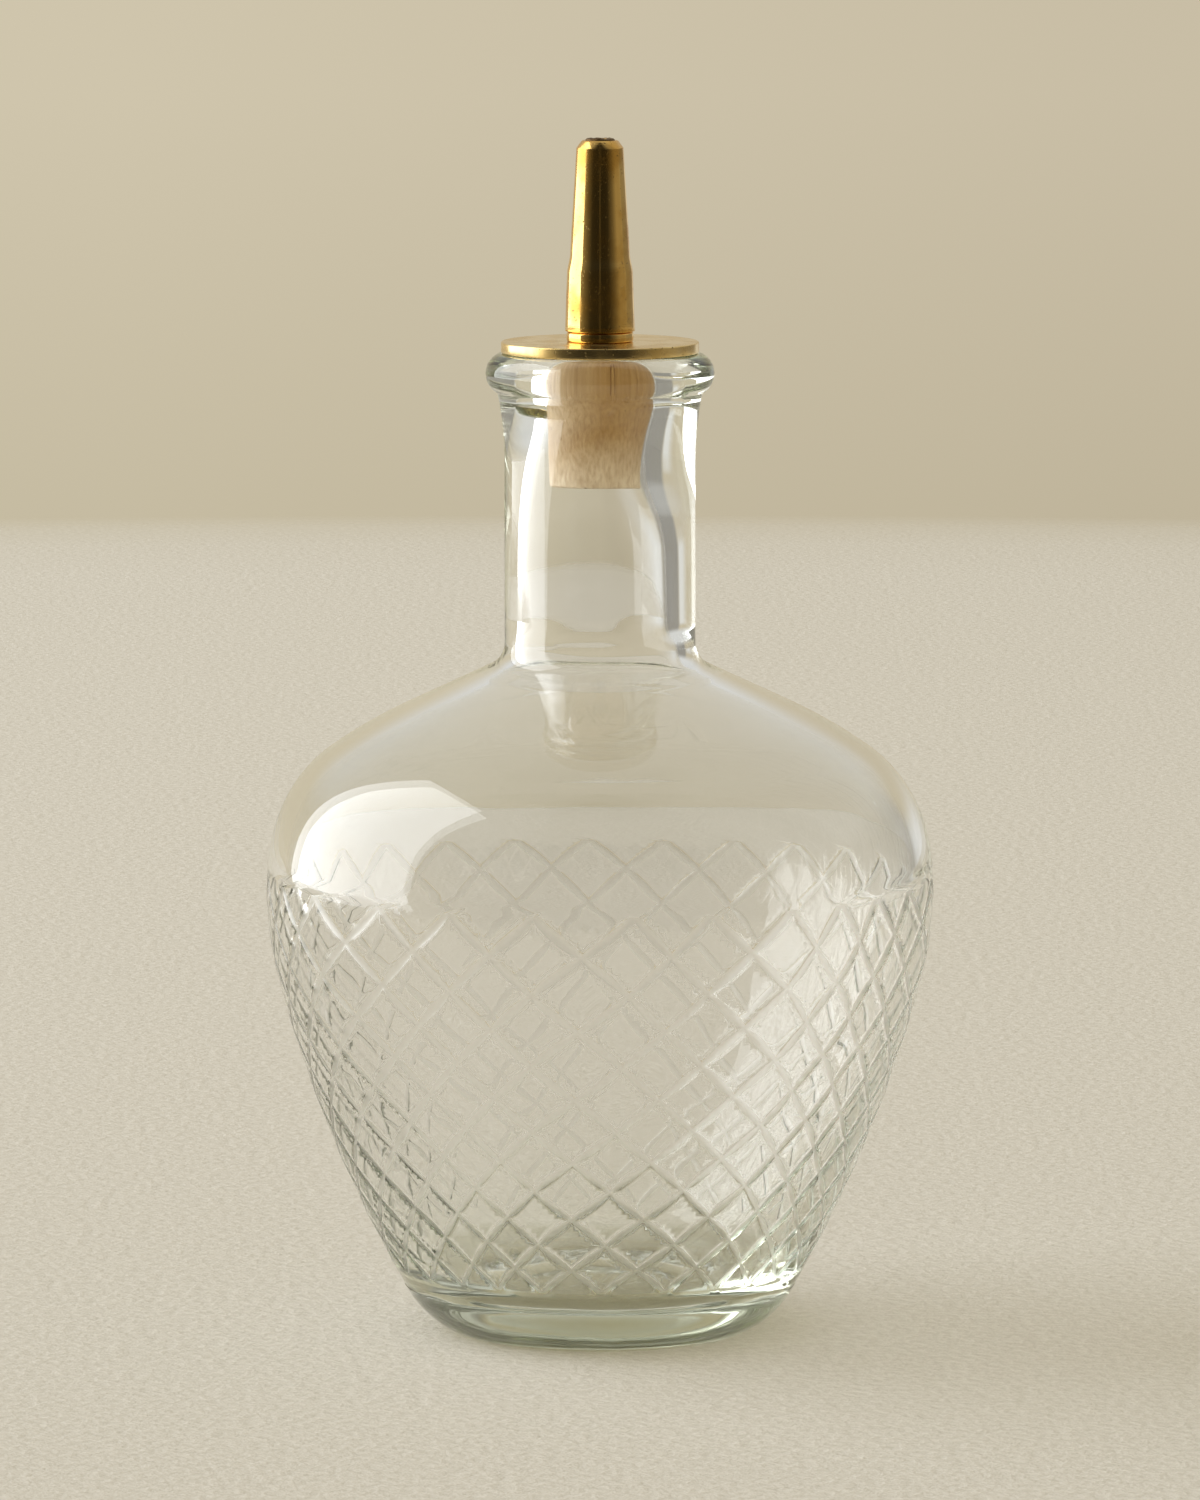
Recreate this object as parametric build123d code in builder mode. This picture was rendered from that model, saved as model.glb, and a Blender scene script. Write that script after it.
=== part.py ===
from build123d import *
import math
import os

# Bitters bottle: a round-shouldered glass bottle with a cork and brass dasher stopper.
# Millimetres, +Z up, origin at the centre of the circle the bottle stands on.

os.makedirs("parts", exist_ok=True)

# Driving sizes: the bottle's outside
body_r = 44.2             # widest radius of the body
body_z = 59.6             # height of that widest circle
shoulder_arc_r = 27.0     # arc from the widest circle up to the turn of the shoulder
shoulder_arc_deg = 17.7
turn_arc_r = 18.5         # arc round the turn of the shoulder
turn_arc_deg = 37.2
slope_arc_r = 68.0        # nearly flat arc up to the neck
slope_arc_deg = 9.9
root_r = 3.2              # hollow fillet between shoulder and neck
belly_arc_r = 53.0        # arc from the widest circle down to the flank
belly_arc_deg = 15.1
heel_r = 26.05            # radius at the heel crease
heel_z = 5.9              # height of the heel crease
crease_d = 0.2            # depth of the heel crease
heel_rise_deg = 25.5      # slope at which the heel's round leaves the ring
foot_r = 20.0             # outer radius of the contact ring
foot_ring_w = 3.6         # width of the contact ring
kick_h = 1.5              # push-up under the foot
neck_r = 12.65            # straight part of the neck
flare_h = 9.0             # length over which the neck flares below the lip
flare_r = 13.55           # neck radius at the lip's seam
lip_h = 5.2               # height of the lip above its seam
lip_r = 15.1              # rolled lip
lip_flat_r = 13.3         # where the lip's round meets its flat top
mouth_z = 129.75          # top of the lip

# Driving sizes: the glass thickness
wall_t = 2.6              # wall of the body and shoulder
base_t = 6.8              # glass under the flat inside floor
floor_r = 18.0            # radius of that floor
pocket_r = 24.2           # inside radius just above the floor's rounded corner
pocket_h = 4.2            # height of that corner
throat_r = 9.5            # inside radius of the neck at the shoulder

# Driving sizes: cork and bore
cork_top_r = 7.45         # cork radius at the lip
cork_end_r = 6.85         # cork radius at its lower end
cork_len = 17.2           # cork below the disc
cork_edge = 0.25          # eased lower edge of the cork
cork_gap = 0.08           # sliding clearance between cork and bore
seat_gap = 0.07           # clearance between the disc and the lip
seat_h = 6.0              # upper part of the bore, which grips the cork
mouth_round = 1.1         # rounding at the mouth of the bore

# Driving sizes: brass stopper
disc_r = 13.05            # flange disc
disc_t = 1.5
disc_edge = 0.2           # eased edge of the disc
tube_r = 2.0              # feed tube, outside
tube_bore = 1.3
collar_r = 4.42           # boss under the nozzle
collar_h = 1.3
collar_edge = 0.15        # eased edges of boss and stem
spigot_r = 3.4            # collar's spigot, riveted into the disc
stem_r = 2.85             # stem that the nozzle screws on to
stem_h = 7.6
screw_gap = 0.06          # running clearance between stem and nozzle
seam_gap = 0.07           # seam between collar and nozzle, and between stem and washer

# Driving sizes: nozzle
nozzle_foot_r = 4.62      # cylindrical foot
nozzle_neck_r = 4.08      # above the shoulder
nozzle_top_r = 3.2        # at the foot of the chamfer
nozzle_tip_r = 2.36
nozzle_foot_h = 8.0
nozzle_shoulder_h = 2.9
nozzle_cone_h = 13.3
nozzle_chamfer_h = 0.9
nozzle_edge = 0.15        # eased lower edge of the foot
washer_t = 0.8
washer_bore = 1.5
channel_r = 2.2           # liquid channel above the washer
channel_cone_h = 2.2      # cone that narrows the channel to the insert
insert_r = 1.5            # plug in the tip
insert_h = 4.0
insert_proud = 0.4        # peened rim that stands out of the tip
insert_rim_r = 1.95
insert_land_r = 1.1       # where the rim's flat top dips towards the dash hole
insert_dip = 0.8          # depth of that dip
dash_hole_r = 0.5

# Heights that follow from the driving sizes
seam_z = mouth_z - lip_h
flare_z = seam_z - flare_h
disc_z = mouth_z + seat_gap
disc_top = disc_z + disc_t
collar_top = disc_top + collar_h
cork_z = disc_z - cork_len
stem_top = collar_top + stem_h
washer_z = stem_top + seam_gap
step_z = washer_z + washer_t
nozzle_z = collar_top + seam_gap
nozzle_foot_top = nozzle_z + nozzle_foot_h
nozzle_neck_z = nozzle_foot_top + nozzle_shoulder_h
nozzle_chamfer_z = nozzle_neck_z + nozzle_cone_h
nozzle_top = nozzle_chamfer_z + nozzle_chamfer_h
insert_z = nozzle_top - insert_h


def cork_r(z):
    """Radius of the tapered cork at a height."""
    return cork_top_r - (cork_top_r - cork_end_r) * (disc_z - z) / cork_len


def bend(start, heading, radius, sweep, steps):
    """Points along an arc that leaves start at heading degrees from +X and turns by sweep degrees."""
    side = math.copysign(1, sweep)
    first = math.radians(heading)
    points = []
    for step in range(1, steps + 1):
        turned = first + math.radians(sweep) * step / steps
        points.append((start[0] + side * radius * (math.sin(turned) - math.sin(first)),
                       start[1] - side * radius * (math.cos(turned) - math.cos(first))))
    return points


def bend_to(start, heading, end, steps):
    """Points along the arc that leaves start at heading degrees and reaches end."""
    chord = math.hypot(end[0] - start[0], end[1] - start[1])
    sweep = 2 * (math.degrees(math.atan2(end[1] - start[1], end[0] - start[0])) - heading)
    sweep = (sweep + 180) % 360 - 180
    return bend(start, heading, abs(chord / 2 / math.sin(math.radians(sweep / 2))), sweep, steps)


def over_shoulder(depth, neck, steps):
    """Outline from the widest circle over the shoulder into the neck, at a depth inside the glass."""
    points = [(body_r - depth, body_z)]
    heading = 90
    for radius, sweep, count in zip((shoulder_arc_r, turn_arc_r, slope_arc_r),
                                    (shoulder_arc_deg, turn_arc_deg, slope_arc_deg), steps):
        points += bend(points[-1], heading, radius - depth, sweep, count)
        heading += sweep
    steepness = math.radians(heading - 90)
    root_start = neck + (root_r + depth) * (1 - math.cos(steepness))
    points.append((root_start, points[-1][1] + (points[-1][0] - root_start) / math.tan(steepness)))
    return points + bend(points[-1], heading, root_r + depth, 90 - heading, steps[-1])


def down_belly(depth, foot, steps):
    """Outline from the widest circle down the belly and the flank to foot, at a depth inside the glass."""
    belly = bend((body_r - depth, body_z), -90, belly_arc_r - depth, -belly_arc_deg, steps[0])
    return belly + bend_to(belly[-1], -90 - belly_arc_deg, foot, steps[1])


# Glass bottle: outline up the outside and up the inside, joined over the lip and turned round the axis
kick_end = (foot_r - foot_ring_w, 0)
flank_foot = (heel_r - crease_d, heel_z + crease_d)
lip_seam = (flare_r, seam_z)
lip_side = (lip_r, (seam_z + mouth_z) / 2)
outside = [(0, kick_h)] + bend_to((0, kick_h), 0, kick_end, 2)
outside += [(foot_r, 0)] + bend_to((foot_r, 0), heel_rise_deg, (heel_r, heel_z), 2)
outside += down_belly(0, flank_foot, (2, 3))[::-1] + over_shoulder(0, neck_r, (3, 4, 1, 3))
outside += [(neck_r, flare_z)] + bend_to((neck_r, flare_z), 90, lip_seam, 4)
outside += bend_to(lip_side, -90, lip_seam, 2)[:1] + [lip_side]
outside += bend_to(lip_side, 90, (lip_flat_r, mouth_z), 3)

pocket_rim = (pocket_r, base_t + pocket_h)
seat_foot = (cork_r(mouth_z - seat_h) + cork_gap, mouth_z - seat_h)
seat_top = (cork_r(mouth_z - mouth_round) + cork_gap, mouth_z - mouth_round)
inside = [(0, base_t), (floor_r, base_t)] + bend_to((floor_r, base_t), 0, pocket_rim, 2)[:1]
inside += down_belly(wall_t, pocket_rim, (1, 2))[::-1] + over_shoulder(wall_t, throat_r, (1, 4, 1, 3))
inside += [seat_foot, seat_top] + bend(seat_top, 90, mouth_round, -90, 2)

with BuildPart() as glass_bottle:
    with BuildSketch(Plane.XZ):
        with BuildLine():
            Polyline(*outside, *inside[::-1], close=True)
        make_face()
    revolve(axis=Axis.Z)
glass_bottle.part.label = "glass_bottle"
export_step(glass_bottle.part, "parts/glass_bottle.step")

# Cork stopper: tapered, bored for the feed tube
with BuildPart() as cork_stopper:
    with BuildSketch(Plane.XZ):
        with BuildLine():
            Polyline((tube_r, cork_z), (cork_end_r - cork_edge, cork_z), (cork_end_r, cork_z + cork_edge),
                     (cork_top_r, disc_z), (tube_r, disc_z), close=True)
        make_face()
    revolve(axis=Axis.Z)
cork_stopper.part.label = "cork_stopper"
export_step(cork_stopper.part, "parts/cork_stopper.step")

# Flange disc: flat, with eased edges and a hole for the collar's spigot
with BuildPart() as flange_disc:
    with BuildSketch(Plane.XY.offset(disc_z)):
        Circle(disc_r)
        Circle(spigot_r, mode=Mode.SUBTRACT)
    extrude(amount=disc_t)
    disc_rims = flange_disc.edges().filter_by(GeomType.CIRCLE).sort_by(SortBy.RADIUS)[-2:]
    chamfer(disc_rims, length=disc_edge)
flange_disc.part.label = "flange_disc"
export_step(flange_disc.part, "parts/flange_disc.step")

# Threaded collar: boss on the disc, spigot through it and the stem that the nozzle screws on to
with BuildPart() as threaded_collar:
    with BuildSketch(Plane.XY.offset(disc_z)):
        Circle(spigot_r)
    extrude(amount=disc_t)
    with BuildSketch(Plane.XY.offset(disc_top)):
        Circle(collar_r)
    extrude(amount=collar_h)
    chamfer(threaded_collar.edges().filter_by(GeomType.CIRCLE).sort_by(Axis.Z)[-1], length=collar_edge)
    with BuildSketch(Plane.XY.offset(collar_top)):
        Circle(stem_r)
    extrude(amount=stem_h)
    chamfer(threaded_collar.edges().filter_by(GeomType.CIRCLE).sort_by(Axis.Z)[-1], length=collar_edge)
    with BuildSketch(Plane.XY.offset(disc_z)):
        Circle(tube_r)
    extrude(amount=stem_top - disc_z, mode=Mode.SUBTRACT)
threaded_collar.part.label = "threaded_collar"
export_step(threaded_collar.part, "parts/threaded_collar.step")

# Feed tube: from the cork's lower end to the top of the stem
with BuildPart() as feed_tube:
    with BuildSketch(Plane.XY.offset(cork_z)):
        Circle(tube_r)
        Circle(tube_bore, mode=Mode.SUBTRACT)
    extrude(amount=stem_top - cork_z)
feed_tube.part.label = "feed_tube"
export_step(feed_tube.part, "parts/feed_tube.step")

# Nozzle washer: seal between the stem's end and the nozzle's inner step
with BuildPart() as nozzle_washer:
    with BuildSketch(Plane.XY.offset(washer_z)):
        Circle(stem_r)
        Circle(washer_bore, mode=Mode.SUBTRACT)
    extrude(amount=washer_t)
nozzle_washer.part.label = "nozzle_washer"
export_step(nozzle_washer.part, "parts/nozzle_washer.step")

# Dasher nozzle: turned foot, shoulder, cone and chamfered tip round the socket, channel and insert's seat
socket_r = stem_r + screw_gap
with BuildPart() as dasher_nozzle:
    with BuildSketch(Plane.XZ):
        with BuildLine():
            Polyline((socket_r, nozzle_z), (nozzle_foot_r - nozzle_edge, nozzle_z),
                     (nozzle_foot_r, nozzle_z + nozzle_edge), (nozzle_foot_r, nozzle_foot_top),
                     (nozzle_neck_r, nozzle_neck_z), (nozzle_top_r, nozzle_chamfer_z),
                     (nozzle_tip_r, nozzle_top), (insert_r, nozzle_top), (insert_r, insert_z),
                     (channel_r, insert_z - channel_cone_h), (channel_r, step_z), (socket_r, step_z), close=True)
        make_face()
    revolve(axis=Axis.Z)
dasher_nozzle.part.label = "dasher_nozzle"
export_step(dasher_nozzle.part, "parts/dasher_nozzle.step")

# Dash insert: plug with the dash hole, its rim peened over the tip
rim_top = nozzle_top + insert_proud
with BuildPart() as dash_insert:
    with BuildSketch(Plane.XZ):
        with BuildLine():
            Polyline((dash_hole_r, insert_z), (insert_r, insert_z), (insert_r, nozzle_top),
                     (insert_rim_r, nozzle_top), (insert_rim_r - insert_proud / 2, rim_top),
                     (insert_land_r, rim_top), (dash_hole_r, rim_top - insert_dip), close=True)
        make_face()
    revolve(axis=Axis.Z)
dash_insert.part.label = "dash_insert"
export_step(dash_insert.part, "parts/dash_insert.step")
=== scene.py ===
import math

import bmesh
import bpy
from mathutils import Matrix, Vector, noise


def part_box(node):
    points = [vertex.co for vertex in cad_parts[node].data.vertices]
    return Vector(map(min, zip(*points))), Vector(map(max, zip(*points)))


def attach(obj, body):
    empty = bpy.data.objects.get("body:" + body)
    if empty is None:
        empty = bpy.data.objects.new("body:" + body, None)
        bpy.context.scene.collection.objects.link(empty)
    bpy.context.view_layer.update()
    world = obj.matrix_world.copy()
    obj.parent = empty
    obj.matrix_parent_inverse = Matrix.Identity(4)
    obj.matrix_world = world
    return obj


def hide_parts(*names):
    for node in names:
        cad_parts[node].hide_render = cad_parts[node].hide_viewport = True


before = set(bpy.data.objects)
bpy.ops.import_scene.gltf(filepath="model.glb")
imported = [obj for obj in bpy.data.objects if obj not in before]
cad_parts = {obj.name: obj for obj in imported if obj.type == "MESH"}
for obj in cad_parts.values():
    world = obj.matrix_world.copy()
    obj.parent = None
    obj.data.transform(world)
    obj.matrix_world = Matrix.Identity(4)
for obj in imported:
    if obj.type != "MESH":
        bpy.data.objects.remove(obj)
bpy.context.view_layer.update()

scene = bpy.context.scene
scene.view_settings.view_transform = "Standard"

# Camera: a long lens a little above the bottle, tilted down, fitted to the outline of the bottle.
# The picture is 1200 by 1500, so the lens is set from the taller side.
camera_distance = 1.276
camera_height = 0.2342
camera_tilt = math.radians(7.019)
picture_height_mm = 24.0
lens_mm = 155.42
camera = bpy.data.objects.new("camera", bpy.data.cameras.new("camera"))
scene.collection.objects.link(camera)
camera.location = (0, -camera_distance, camera_height)
camera.rotation_euler = (math.pi / 2 - camera_tilt, 0, 0)
camera.data.sensor_fit = "VERTICAL"
camera.data.sensor_height = picture_height_mm
camera.data.lens = lens_mm
camera.data.clip_end = 20
scene.camera = camera

# Table: a pale beige cloth-covered top that ends behind the bottle and fades into the wall there.
# It is a flat oval with a soft edge and a fine matted nap, and the bottle stands on the tips of the nap.
mm = 0.001
table_half_w = 1.0
table_half_d = 0.75
table_middle = 0.35
table_steps = 256
edge_fade = ((0.813, 1.0), (0.907, 0.86), (0.96, 0.55), (1.0, 0.0))    # share of the way out, then cover
nap_fineness = 620.0
nap_gap = 0.1 * mm
nap_depth = 0.8 * mm
nap_dark = (0.505, 0.495, 0.465)
nap_light = (0.59, 0.58, 0.556)
bm = bmesh.new()
bmesh.ops.create_circle(bm, cap_ends=True, radius=1.0, segments=table_steps)
bmesh.ops.scale(bm, verts=bm.verts, vec=(table_half_w, table_half_d, 1))
bmesh.ops.translate(bm, verts=bm.verts, vec=(0, table_middle, -nap_gap))
table = bpy.data.objects.new("table", bpy.data.meshes.new("table"))
bm.to_mesh(table.data)
bm.free()
scene.collection.objects.link(table)

cloth = bpy.data.materials.new("table_cloth")
cloth.use_nodes = True
nodes, links = cloth.node_tree.nodes, cloth.node_tree.links
shader = nodes["Principled BSDF"]
shader.inputs["Roughness"].default_value = 0.9
shader.inputs["Specular IOR Level"].default_value = 0.1
place = nodes.new("ShaderNodeTexCoord")
nap = nodes.new("ShaderNodeTexNoise")
nap.inputs["Scale"].default_value = nap_fineness
nap.inputs["Detail"].default_value = 3
nap.inputs["Roughness"].default_value = 0.6
links.new(place.outputs["Object"], nap.inputs["Vector"])
shade = nodes.new("ShaderNodeValToRGB")
shade.color_ramp.elements[0].position = 0.3
shade.color_ramp.elements[0].color = (*nap_dark, 1)
shade.color_ramp.elements[1].position = 0.7
shade.color_ramp.elements[1].color = (*nap_light, 1)
links.new(nap.outputs["Fac"], shade.inputs["Fac"])
links.new(shade.outputs["Color"], shader.inputs["Base Color"])
relief = nodes.new("ShaderNodeBump")
relief.inputs["Strength"].default_value = 0.5
relief.inputs["Distance"].default_value = nap_depth
links.new(nap.outputs["Fac"], relief.inputs["Height"])
links.new(relief.outputs["Normal"], shader.inputs["Normal"])
centred = nodes.new("ShaderNodeMapping")
centred.vector_type = "TEXTURE"
centred.inputs["Location"].default_value = (0, table_middle, 0)
centred.inputs["Scale"].default_value = (table_half_w, table_half_d, 1)
links.new(place.outputs["Object"], centred.inputs["Vector"])
from_middle = nodes.new("ShaderNodeVectorMath")
from_middle.operation = "LENGTH"
links.new(centred.outputs["Vector"], from_middle.inputs[0])


def ranged(value, low, high, start=0.0, end=1.0):
    """A Map Range node that takes low to start and high to end."""
    node = nodes.new("ShaderNodeMapRange")
    node.inputs["From Min"].default_value = low
    node.inputs["From Max"].default_value = high
    node.inputs["To Min"].default_value = start
    node.inputs["To Max"].default_value = end
    links.new(value, node.inputs["Value"])
    return node.outputs["Result"]


def ramp(value, stops):
    """A Color Ramp node with a colour or grey at each stop of a value."""
    node = nodes.new("ShaderNodeValToRGB")
    low, high = stops[0][0], stops[-1][0]
    while len(node.color_ramp.elements) < len(stops):
        node.color_ramp.elements.new(0.5)
    for element, (at, colour) in zip(node.color_ramp.elements, stops):
        element.position = (at - low) / (high - low)
        element.color = (*colour, 1) if isinstance(colour, tuple) else (colour, colour, colour, 1)
    links.new(ranged(value, low, high), node.inputs["Fac"])
    return node.outputs["Color"]


links.new(ramp(from_middle.outputs["Value"], edge_fade), shader.inputs["Alpha"])
table.data.materials.append(cloth)

# Wall and room: an evenly lit beige wall all round, a little darker just above the table.
# It is the world, so it stands behind the bottle from every side. Glass and metal also show the room: a white
# card behind on the right, a dark doorway beside it, the pale ceiling, and the unlit side of the camera.
wall_low = (0.56, 0.497, 0.358)
wall_high = (0.625, 0.558, 0.414)
wall_right = (0.93, 0.92, 0.915)
low_fade = (-0.1, -0.055)
right_fade = (-0.05, 0.055)
white_card = (0.76, 0.755, 0.72)
card_share = ((0.8, 0.0), (0.86, 1.0), (0.93, 1.0), (0.993, 0.0))
card_top_fade = (0.12, 0.0)
doorway = (0.3, 0.285, 0.255)
doorway_share = ((0.1, 0.0), (0.24, 1.0), (0.8, 1.0), (0.86, 0.0))
front_stops = ((-0.95, 0.04), (-0.85, 0.055), (-0.6, 0.25), (-0.3, 0.6), (0.1, 0.6), (0.2, 1.0))
gap_half = 0.02            # a narrow lit gap in the dark side, behind the camera
gap_light = 0.16
ceiling = (0.7, 0.7, 0.68)
ceiling_fade = (0.2, 0.4)
fill_strength = 1.32       # of the room's light on cloth and cork; a view of the room itself keeps 1
world = bpy.data.worlds.new("wall")
scene.world = world
world.use_nodes = True
nodes, links = world.node_tree.nodes, world.node_tree.links
background = nodes["Background"]
place = nodes.new("ShaderNodeTexCoord")
split = nodes.new("ShaderNodeSeparateXYZ")
links.new(place.outputs["Generated"], split.inputs["Vector"])


def mixed(share, first, second, how="MIX"):
    """A colour Mix node of two colours, each a plain colour or an output."""
    node = nodes.new("ShaderNodeMix")
    node.data_type = "RGBA"
    node.blend_type = how
    for side, value in (("Factor", share), ("A", first), ("B", second)):
        socket = node.inputs[side]
        if isinstance(value, bpy.types.NodeSocket):
            links.new(value, socket)
        elif socket.type == "RGBA":
            socket.default_value = (*value, 1)
        else:
            socket.default_value = value
    return node.outputs["Result"]


def worked(how, first, second):
    """A Math node of two values, each a number or an output."""
    node = nodes.new("ShaderNodeMath")
    node.operation = how
    for socket, value in zip(node.inputs, (first, second)):
        if isinstance(value, bpy.types.NodeSocket):
            links.new(value, socket)
        else:
            socket.default_value = value
    return node.outputs["Value"]


wall = mixed(ranged(split.outputs["Z"], *low_fade), wall_low, wall_high)
wall = mixed(ranged(split.outputs["X"], *right_fade), wall, mixed(1.0, wall, wall_right, "MULTIPLY"))
level = nodes.new("ShaderNodeVectorMath")
level.operation = "MULTIPLY"
level.inputs[1].default_value = (1, 1, 0)
links.new(place.outputs["Generated"], level.inputs[0])
heading = nodes.new("ShaderNodeVectorMath")
heading.operation = "NORMALIZE"
links.new(level.outputs["Vector"], heading.inputs[0])
turn = nodes.new("ShaderNodeSeparateXYZ")
links.new(heading.outputs["Vector"], turn.inputs["Vector"])
on_right = worked("GREATER_THAN", turn.outputs["X"], 0.0)
on_card = worked("MULTIPLY", on_right, ranged(split.outputs["Z"], *card_top_fade))
around = mixed(worked("MULTIPLY", on_card, ramp(turn.outputs["Y"], card_share)), wall, white_card)
around = mixed(worked("MULTIPLY", on_right, ramp(turn.outputs["Y"], doorway_share)), around, doorway)
around = mixed(ranged(split.outputs["Z"], *ceiling_fade), around, ceiling)
in_gap = worked("LESS_THAN", worked("ABSOLUTE", turn.outputs["X"], 0.0), gap_half)
in_gap = worked("MULTIPLY", in_gap, worked("LESS_THAN", turn.outputs["Y"], 0.0))
room_shade = worked("ADD", ramp(turn.outputs["Y"], front_stops), worked("MULTIPLY", in_gap, gap_light))

# A straight view through the glass shows the room as it is. Reflections, in the glass too, show it shaded.
ray = nodes.new("ShaderNodeLightPath")
by_glass = worked("MAXIMUM", ray.outputs["Is Glossy Ray"], ray.outputs["Is Transmission Ray"])
by_glass = worked("MULTIPLY", by_glass, worked("LESS_THAN", ray.outputs["Diffuse Depth"], 0.5))
shaded = worked("GREATER_THAN", ray.outputs["Glossy Depth"], 0.5)
seen = mixed(by_glass, wall, mixed(shaded, around, mixed(1.0, around, room_shade, "MULTIPLY")))
links.new(seen, background.inputs["Color"])
plain_ray = worked("MAXIMUM", ray.outputs["Is Camera Ray"], by_glass)
links.new(ranged(plain_ray, 0.0, 1.0, fill_strength, 1.0), background.inputs["Strength"])

# Light: one large soft panel to the left, like a window, that reaches from the front to behind the bottle.
# Its light crosses many walls and cut faces of glass, so many bounces are let through.
panel_middle = (-2.0, 0.59, 1.3)
panel_size = (4.54, 2.6)
panel_radiance = 2.9
panel_colour = (0.95, 0.985, 1.04)
glass_bounces = 28
all_bounces = 36
light = bpy.data.lights.new("window_panel", "AREA")
light.shape = "RECTANGLE"
light.size, light.size_y = panel_size
light.energy = panel_radiance * math.pi * panel_size[0] * panel_size[1]
light.color = panel_colour
window_panel = bpy.data.objects.new("window_panel", light)
window_panel.location = panel_middle
window_panel.rotation_euler = Vector((1, 0, 0)).to_track_quat("-Z", "Z").to_euler()
window_panel.visible_camera = False
scene.collection.objects.link(window_panel)
scene.cycles.glossy_bounces = glass_bounces
scene.cycles.transmission_bounces = glass_bounces
scene.cycles.max_bounces = all_bounces
scene.cycles.blur_glossy = 0.12

# Glass bottle: one piece of clear, faintly green glass, blown into a mould and cut by hand.
# The outline is turned round the axis, and 26 cuts of each hand cross the flank as a diamond lattice.
body_r = 44.2 * mm
body_z = 59.6 * mm
shoulder_arc_r = 27.0 * mm
shoulder_arc_deg = 17.7
turn_arc_r = 18.5 * mm
turn_arc_deg = 37.2
slope_arc_r = 68.0 * mm
slope_arc_deg = 9.9
root_r = 3.2 * mm
belly_arc_r = 53.0 * mm
belly_arc_deg = 15.1
heel_r = 26.05 * mm
heel_z = 5.9 * mm
crease_d = 0.05 * mm
foot_r = 20.0 * mm
foot_lean_deg = 25.5
foot_ring_w = 3.6 * mm
kick_h = 1.5 * mm
neck_r = 12.65 * mm
flare_h = 9.0 * mm
flare_r = 13.55 * mm
lip_h = 5.2 * mm
lip_r = 15.1 * mm
lip_flat_r = 13.3 * mm
mouth_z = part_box("glass_bottle")[1][2]
seam_z = mouth_z - lip_h
flare_z = seam_z - flare_h


def between(low, high, share):
    """The value a share of the way from low to high."""
    return low + (high - low) * share


def bend(start, heading, radius, sweep, steps):
    """Points along an arc that leaves start at heading degrees from +X and turns by sweep degrees."""
    side = math.copysign(1, sweep)
    first = math.radians(heading)
    points = []
    for step in range(1, steps + 1):
        turned = first + math.radians(sweep) * step / steps
        points.append((start[0] + side * radius * (math.sin(turned) - math.sin(first)),
                       start[1] - side * radius * (math.cos(turned) - math.cos(first))))
    return points


def bend_to(start, heading, end, steps):
    """Points along the arc that leaves start at heading degrees and reaches end."""
    chord = math.hypot(end[0] - start[0], end[1] - start[1])
    sweep = 2 * (math.degrees(math.atan2(end[1] - start[1], end[0] - start[0])) - heading)
    sweep = (sweep + 180) % 360 - 180
    return bend(start, heading, abs(chord / 2 / math.sin(math.radians(sweep / 2))), sweep, steps)


def steps_to(start, end, count):
    """Points in equal steps along the line from start to end, without start."""
    return [(between(start[0], end[0], step / count), between(start[1], end[1], step / count))
            for step in range(1, count + 1)]


def over_shoulder(start, heading, depth, neck, steps, root=root_r):
    """Arcs on from start over the shoulder into the neck, at a depth inside the glass."""
    points = [start]
    turns = ((shoulder_arc_r, shoulder_arc_deg + 90 - heading), (turn_arc_r, turn_arc_deg),
             (slope_arc_r, slope_arc_deg))
    for (radius, sweep), count in zip(turns, steps):
        points += bend(points[-1], heading, radius - depth, sweep, count)
        heading += sweep
    steepness = math.radians(heading - 90)
    root_start = neck + (root + depth) * (1 - math.cos(steepness))
    points.append((root_start, points[-1][1] + (points[-1][0] - root_start) / math.tan(steepness)))
    return points[1:] + bend(points[-1], heading, root + depth, 90 - heading, steps[-1])


# The flank's outline, from the widest circle down to the heel crease
belly_end = bend((body_r, body_z), -90, belly_arc_r, -belly_arc_deg, 1)[0]
flank_foot = (heel_r - crease_d, heel_z + crease_d)
flank_chord = Vector(belly_end) - Vector(flank_foot)
flank_turn = 2 * (math.atan2(flank_chord.x, flank_chord.y) - math.radians(belly_arc_deg))
flank_arc_r = flank_chord.length / 2 / math.sin(flank_turn / 2)
flank_mid = (belly_end[0] - flank_arc_r * math.cos(math.radians(belly_arc_deg)),
             belly_end[1] + flank_arc_r * math.sin(math.radians(belly_arc_deg)))


def outer_r(z):
    """Outside radius of the body at a height between the heel crease and the turn of the shoulder."""
    if z > body_z:
        return body_r - shoulder_arc_r + math.sqrt(shoulder_arc_r ** 2 - (z - body_z) ** 2)
    if z > belly_end[1]:
        return body_r - belly_arc_r + math.sqrt(belly_arc_r ** 2 - (z - body_z) ** 2)
    return flank_mid[0] + math.sqrt(flank_arc_r ** 2 - (z - flank_mid[1]) ** 2)


cuts_round = 26            # cuts of each hand
cut_rows = 12              # half diamonds from the lower tips to the upper tips
cell = 6                   # steps of the mesh from one crossing to the next
lattice_low = 9.0 * mm
lattice_high = 60.8 * mm
first_row_share = 0.768    # height of the lowest row over the mean row
columns = cuts_round * 2 * cell
levels = cut_rows * cell


def level_z(level):
    """Height of a level of the lattice: the rows grow taller upwards, as the body widens."""
    share = level / levels
    return between(lattice_low, lattice_high, first_row_share * share + (1 - first_row_share) * share ** 2)


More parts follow.
